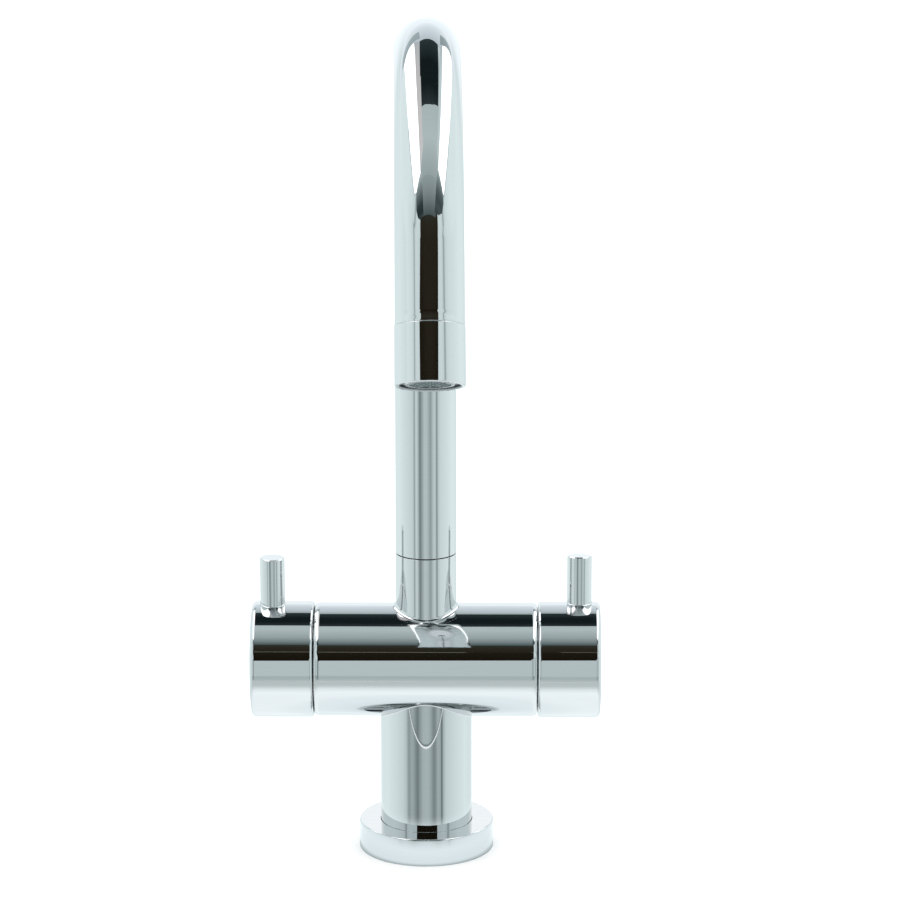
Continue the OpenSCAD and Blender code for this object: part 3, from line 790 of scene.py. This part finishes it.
def cloth(level, red=-11, blue=1):
    """Linear colour that shows on screen with its green at level, and red and blue beside it."""
    return tuple(((max(level + shift, 1) / 255 + 0.055) / 1.055) ** 2.4 for shift in (red, 0, blue))


def as_colour(tone):
    """A colour stays as it is, and a bare level becomes cloth of that level."""
    return tone if isinstance(tone, tuple) else cloth(tone)


def tones(low, high, *stops):
    """Stops of a ramp that runs from low to high, each given as a place and a tone."""
    return [((place - low) / (high - low), as_colour(tone)) for place, tone in stops]


class Graph:
    """Node tree with short ways to add what the studio needs."""

    def __init__(self, tree):
        self.nodes = tree.nodes
        self.links = tree.links

    def place(self, kind):
        return self.nodes.new("ShaderNodeTexCoord").outputs[kind]

    def split(self, vector):
        node = self.nodes.new("ShaderNodeSeparateXYZ")
        self.links.new(vector, node.inputs["Vector"])
        return [node.outputs[axis] for axis in "XYZ"]

    def maths(self, operation, *values):
        """Result of an operation on sockets and numbers."""
        node = self.nodes.new("ShaderNodeMath")
        node.operation = operation
        for socket, value in zip(node.inputs, values):
            if isinstance(value, (int, float)):
                socket.default_value = value
            else:
                self.links.new(value, socket)
        return node.outputs[0]

    def between(self, value, low, high, first=0, last=1, kind="SMOOTHSTEP"):
        """Share that goes from first to last as a value goes from low to high."""
        span = self.nodes.new("ShaderNodeMapRange")
        span.interpolation_type = kind
        span.inputs["To Min"].default_value = first
        span.inputs["To Max"].default_value = last
        span.inputs["From Min"].default_value = low
        span.inputs["From Max"].default_value = high
        self.links.new(value, span.inputs["Value"])
        return span.outputs["Result"]

    def ramp(self, value, stops):
        return colour_ramp(self.nodes, self.links, value, stops)

    def even(self, colour):
        node = self.nodes.new("ShaderNodeRGB")
        node.outputs[0].default_value = (*colour, 1)
        return node.outputs[0]

    def mixed(self, share, first, second):
        mix = self.nodes.new("ShaderNodeMix")
        mix.data_type = "RGBA"
        self.links.new(share, mix.inputs["Factor"])
        self.links.new(first, mix.inputs["A"])
        self.links.new(second, mix.inputs["B"])
        return mix.outputs["Result"]

    def glow(self, kind, colour, strength):
        """Light of a background or an emission node, with a colour or a socket for its colour."""
        node = self.nodes.new(kind)
        node.inputs["Strength"].default_value = strength
        if isinstance(colour, tuple):
            node.inputs["Color"].default_value = (*colour, 1)
        else:
            self.links.new(colour, node.inputs["Color"])
        return node.outputs[0]

    def blend(self, share, first, second):
        """Shader between two shaders."""
        node = self.nodes.new("ShaderNodeMixShader")
        self.links.new(share, node.inputs["Fac"])
        self.links.new(first, node.inputs[1])
        self.links.new(second, node.inputs[2])
        return node.outputs["Shader"]

    def for_mirrors(self, mirrored, matt):
        """Shader that shows one thing to mirrors and another to everything else."""
        return self.blend(self.nodes.new("ShaderNodeLightPath").outputs["Is Glossy Ray"], matt, mirrored)


def tent():
    """World that lights matt things evenly, and that mirrors see as the inside of a tent."""
    world = bpy.data.worlds.new("tent")
    bpy.context.scene.world = world
    world.use_nodes = True
    world.node_tree.nodes.clear()
    graph = Graph(world.node_tree)
    maths = graph.maths
    between = graph.between

    # Directions in degrees: rise above level, turn from straight ahead, and the arc overhead.
    x, y, z = graph.split(graph.place("Generated"))
    ahead = maths("MULTIPLY", y, -1)
    rise = maths("DEGREES", maths("ARCSINE", z))
    turn = maths("DEGREES", maths("ARCTAN2", x, ahead))
    over = maths("DEGREES", maths("ARCTAN2", z, ahead))
    height = maths("DIVIDE", maths("ADD", rise, 90), 180)
    whole_turn = maths("DIVIDE", maths("ADD", turn, 180), 360)
    overhead = maths("DIVIDE", over, 180)
    behind = between(y, -0.2, 0.1)
    not_behind = maths("SUBTRACT", 1, behind)

    # Dark opening straight ahead, wider towards its top, in the cloth of the walls.
    middle = maths("ADD", between(rise, 19, 27.3, -3.3, 3.6, "LINEAR"),
                   between(rise, 27.3, 29.6, 0, -3.6, "LINEAR"))
    half_width = maths("ADD", between(rise, 19, 27.3, 25, 33.1, "LINEAR"),
                       between(rise, 31, 35, 0, 1.7, "LINEAR"))
    off_middle = maths("ABSOLUTE", maths("ADD", turn, middle))
    opening = graph.ramp(height, tones(
        -90, 90, (15, cloth(18, 4, -6)), (29, cloth(24, 4, -7)), (31, cloth(32, 4, -7)),
        (39, cloth(38, 2, -8)), (46, cloth(52, -1, -4))))
    walls = graph.ramp(maths("DIVIDE", off_middle, 180), tones(
        0, 180, (33, 206), (44, 212), (51, 205), (55, 152), (59, 206), (68, 216), (80, 222),
        (95, 227), (130, 230), (155, 230), (180, cloth(232, -7, 4))))
    walls = graph.mixed(maths("GREATER_THAN", off_middle, half_width), opening, walls)

    # Roof from front to back, plain at the sides; it starts lower behind than in front.
    roof = graph.ramp(overhead, tones(
        0, 180, (44, 56), (47, 78), (51, 126), (59, 158), (78, 184), (90, 180), (123, 170), (134, 197),
        (148, 224), (158, cloth(238, -3, 1)), (163, cloth(238, -3, 1)), (168, cloth(232, -7, 4))))
    roof = graph.mixed(between(maths("ABSOLUTE", x), 0.5, 0.62), roof, graph.even(cloth(226)))
    is_roof = maths("ADD", maths("MULTIPLY", between(rise, 45.5, 46.5), not_behind),
                    maths("MULTIPLY", between(rise, 15, 21), behind))
    upper = graph.mixed(is_roof, walls, roof)

    # Legs of the stand all round, their feet, and the board; cloth hangs far behind.
    legs = graph.ramp(whole_turn, tones(
        -180, 180, (-180, 210), (-165, 218), (-153, 213), (-138, 224), (-115, 228), (-60, 209),
        (-48, 201), (-42.5, 150), (-37, 204), (-32, 203), (-21, 120), (-4, 190), (6, 187), (19, 150),
        (28, 188), (36, 202), (43, 136), (50, 199), (60, 211), (115, 229), (132, 227), (145, 218),
        (155, 208), (167, 206), (180, 210)))
    feet = graph.ramp(whole_turn, tones(
        -180, 180, (-180, 208), (-150, 218), (-115, 227), (-80, 216), (-60, 205), (-50, 188),
        (-46, 152), (-42, 150), (-37, 166), (-32, 161), (-27, 142), (-21, 120), (-15, 149), (-7, 174),
        (5, 177), (12, 163), (19, 132), (24, 138), (30, 170), (37, 163), (40.5, 92), (44, 172),
        (52, 202), (80, 216), (115, 227), (150, 215), (180, 208)))
    board = graph.ramp(height, tones(
        -90, 90, (-90, cloth(240, -6, 2)), (-66, cloth(240, -6, 2)), (-54, cloth(243, -6, 2)),
        (-46, cloth(228, -7, 2)), (-38, cloth(193, -8, 0)), (-28, cloth(187, -8, -1))))
    bright_board = graph.ramp(height, tones(
        -90, 90, (-90, cloth(240, -6, 2)), (-54, cloth(238, -6, 2)), (-28.8, 214)))
    board = graph.mixed(between(off_middle, 50, 90), board, bright_board)
    lower = graph.mixed(between(rise, -17, -18), legs, feet)
    lower = graph.mixed(between(rise, -23, -28), lower, board)
    far_behind = maths("MULTIPLY", between(rise, -8, -1), between(y, 0.84, 0.96))
    lower = graph.mixed(far_behind, lower, graph.even(cloth(227, -7, 4)))

    # The walls end above the legs, along a hem that hangs a little aslant in front.
    slant = maths("MULTIPLY", between(x, -0.1, 0.1, -2.3, 2.3, "LINEAR"), not_behind)
    is_lower = between(maths("SUBTRACT", rise, slant), 14.6, 14)
    mirrored = graph.glow("ShaderNodeBackground", graph.mixed(is_lower, upper, lower), mirror_strength)
    matt = graph.glow("ShaderNodeBackground", (1, 1, 1), matt_strength)
    out = graph.nodes.new("ShaderNodeOutputWorld")
    graph.links.new(graph.for_mirrors(mirrored, matt), out.inputs["Surface"])


def flat_object(name, corners):
    mesh = bpy.data.meshes.new(name)
    mesh.from_pydata(corners, [], [tuple(range(len(corners)))])
    made = bpy.data.objects.new(name, mesh)
    bpy.context.scene.collection.objects.link(made)
    material = bpy.data.materials.new(name)
    material.use_nodes = True
    mesh.materials.append(material)
    return made, Graph(material.node_tree)


def emission_card(name, corners, shades):
    """Flat card that only mirrors see, shaded evenly from its front to its back."""
    card, graph = flat_object(name, corners)
    graph.nodes.clear()
    _, depth, _ = graph.split(graph.place("Generated"))
    shade = graph.ramp(depth, tones(0, len(shades) - 1, *enumerate(shades)))
    out = graph.nodes.new("ShaderNodeOutputMaterial")
    graph.links.new(graph.glow("ShaderNodeEmission", shade, mirror_strength), out.inputs["Surface"])
    card.visible_camera = False
    card.visible_diffuse = False
    card.visible_shadow = False


def white_board():
    """Board that the tap stands on. Mirrors see it near the tap, and the tent's base beyond."""
    half = 4.0
    _, graph = flat_object("white_board", [
        (-half, -half, 0), (half, -half, 0), (half, half, 0), (-half, half, 0)])
    shader = graph.nodes["Principled BSDF"]
    shader.inputs["Roughness"].default_value = 0.8
    shader.inputs["Specular IOR Level"].default_value = 0.0
    place = graph.place("Object")
    grain = graph.nodes.new("ShaderNodeTexNoise")
    grain.inputs["Scale"].default_value = 40
    graph.links.new(place, grain.inputs["Vector"])
    coloured_by(graph.nodes, graph.links, shader, grain,
                (0.3, (0.96, 0.96, 0.96)), (0.7, (0.98, 0.98, 0.98)))
    reach = graph.nodes.new("ShaderNodeVectorMath")
    reach.operation = "LENGTH"
    graph.links.new(place, reach.inputs[0])
    reach = reach.outputs["Value"]
    # Mirrors see the board near the tap as a glow with painted shadow: dark just outside the flange's
    # foot, as painted contact shadow, and a little darker out to 5 cm.
    shade = graph.ramp(reach, [
        (0.0314, cloth(165)), (0.033, cloth(224, -9, 3)), (0.05, cloth(232, -8, 3)), (0.08, cloth(230))])
    near = graph.glow("ShaderNodeEmission", shade, mirror_strength)
    beyond = graph.nodes.new("ShaderNodeBsdfTransparent").outputs["BSDF"]
    mirrored = graph.blend(graph.between(reach, 0.05, 0.08), near, beyond)
    graph.links.new(graph.for_mirrors(mirrored, shader.outputs["BSDF"]),
                    graph.nodes["Material Output"].inputs["Surface"])


def ceiling():
    """Dark gap straight above the tap, and round it the lamps, borders and folds of the roof."""
    gap_height = 1.235
    gap_slope = 0.94
    gap = [(-0.305, -0.09), (0, -0.1), (0.15, -0.09), (0.395, -0.03), (0.18, 0.42), (-0.143, 0.42)]
    emission_card("ceiling_gap", [(x, y, gap_height - gap_slope * y) for x, y in gap],
                  [cloth(50, -8, 2), cloth(27, -8, 1), cloth(27, -8, 1), cloth(52, -10, 2)])
    lamp = (1.8, 1.8, 1.8)
    back = [(186, -10, 5), (201, -9, 5), (210, -9, 5), (217, -8, 5), (224, -8, 5), (230, -7, 4)]
    cards = [
        ("ceiling_rim_left", [172, 172], [(-0.5, -0.6), (-0.89, -0.65), (-0.93, 0.1), (-0.5, 0.2)]),
        ("ceiling_rim_right", [178, 178], [(0.5, -0.55), (0.92, -0.65), (0.99, 0.1), (0.5, 0.2)]),
        ("ceiling_lamp_left", [lamp, lamp],
         [(-0.38, -0.57), (-0.36, -0.2), (-0.38, 0.6), (-0.42, 0.9), (-0.6, 1.03), (-1, 1.22),
          (-0.94, 0.9), (-0.87, 0.1), (-0.84, -0.63), (-0.7, -0.67)]),
        ("ceiling_lamp_right", [lamp, lamp],
         [(0.42, -0.51), (0.8, -0.62), (0.87, -0.6), (0.96, 0.4), (1.04, 1.5), (0.93, 1.52),
          (0.77, 1.4), (0.6, 1.18), (0.45, 0.94), (0.42, 0.3)]),
        ("ceiling_border_left", [cloth(196, 4, 0), cloth(184, 3, 0), cloth(172, -6, 2)],
         [(-0.21, -0.4), (-0.37, -0.56), (-0.35, -0.2), (-0.38, 0.6), (-0.41, 0.9), (-0.21, 0.7)]),
        ("ceiling_border_right", [196, 200, 176],
         [(0.335, -0.4), (0.43, -0.5), (0.43, 0.9), (0.335, 0.75)]),
        ("ceiling_front_notch", [40, 48],
         [(-0.05, -1.05), (0.09, -1.05), (0.09, -0.92), (-0.05, -0.92)]),
        ("ceiling_front_middle", [80, 102, 124, 140, 152],
         [(-0.42, -1.02), (0.42, -1.02), (0.4, -0.62), (-0.36, -0.62)]),
        ("ceiling_front_left", [66, 46, 60, 98, 138, 185],
         [(-0.3, -0.57), (-0.7, -0.68), (-0.81, -0.85), (-0.74, -0.97), (-0.6, -1.03), (-0.33, -1.0)]),
        ("ceiling_front_right", [60, 78, 72, 92, 130, 185],
         [(0.38, -0.5), (0.33, -0.96), (0.62, -0.94), (0.86, -0.84), (0.9, -0.68), (0.8, -0.61)]),
        ("ceiling_back", [cloth(*tone) for tone in back],
         [(-0.45, 0.72), (0.45, 0.72), (1, 1.4), (2, 1.9), (2, 2.4), (-2, 2.4), (-2, 1.9), (-1, 1.25)]),
        ("ceiling_fold_left", [cloth(158, -12, 3), cloth(164, -12, 3), cloth(172, -12, 3), 190],
         [(-0.36, 0.88), (-0.6, 1.03), (-1, 1.22), (-1.28, 1.6), (-1.2, 1.8), (-0.95, 1.6),
          (-0.6, 1.34), (-0.24, 1.15), (-0.21, 0.8)]),
        ("ceiling_fold_right", [cloth(150, -12, 3), cloth(150, -12, 3), cloth(165, -12, 3), 190],
         [(0.42, 0.9), (0.6, 1.18), (0.77, 1.4), (0.97, 1.6), (1, 1.85), (0.85, 1.8),
          (0.55, 1.5), (0.35, 1.25), (0.34, 0.8)]),
    ]
    level = 1.1
    back_level = 1.12
    for name, shades, corners in cards:
        level -= 0.002
        flat_level = back_level if name == "ceiling_back" else level
        emission_card(name, [(x, y, flat_level) for x, y in corners], shades)


def board_edge():
    """Cut edge of the board in front of the tap, with its shadow."""
    side = 0.3
    level = -0.001
    for name, near, far, shade in (("board_edge", -0.1835, -0.1865, cloth(245, -2, 0)),
                                   ("board_edge_shadow", -0.1865, -0.19, 120)):
        emission_card(name, [(-side, far, level), (side, far, level),
                             (side, near, level), (-side, near, level)], [shade, shade])


def opening_rails():
    """Two ends of a pale rail that hangs across the dark opening."""
    front = -1.2
    rail_h = 0.014
    for name, start, end, level, shade in (
            ("opening_rail_left", -0.6, 0.01, 0.785, cloth(132, -2, -8)),
            ("opening_rail_right", 0.09, 0.6, 0.796, cloth(118, -2, -8))):
        top = level + rail_h
        emission_card(name, [(start, front, level), (end, front, level),
                             (end, front - MM, top), (start, front - MM, top)], [shade, shade])


CAMERA_PLACE = Vector((0.028425, -1.6, 0.587269))
CAMERA_YAW = math.radians(-0.62)
CAMERA_PITCH = math.radians(-13.935)
CAMERA_ROLL = math.radians(-0.036)
LENS = 144.346


def camera():
    """Long lens in front of the tap and a little above it."""
    forward = Vector((math.sin(CAMERA_YAW) * math.cos(CAMERA_PITCH),
                      math.cos(CAMERA_YAW) * math.cos(CAMERA_PITCH), math.sin(CAMERA_PITCH)))
    level = Vector((math.cos(CAMERA_YAW), -math.sin(CAMERA_YAW), 0))
    above = level.cross(forward)
    right = math.cos(CAMERA_ROLL) * level + math.sin(CAMERA_ROLL) * above
    up = -math.sin(CAMERA_ROLL) * level + math.cos(CAMERA_ROLL) * above
    lens = bpy.data.cameras.new("view")
    lens.lens = LENS
    lens.sensor_width = 36
    lens.sensor_fit = "HORIZONTAL"
    lens.clip_start = 0.05
    lens.clip_end = 50
    eye = bpy.data.objects.new("view", lens)
    turn = Matrix((right, up, -forward)).transposed().to_4x4()
    eye.matrix_world = Matrix.Translation(CAMERA_PLACE) @ turn
    bpy.context.scene.collection.objects.link(eye)
    bpy.context.scene.camera = eye


tent()
white_board()
ceiling()
board_edge()
opening_rails()
camera()
bpy.context.scene.view_settings.view_transform = "Standard"
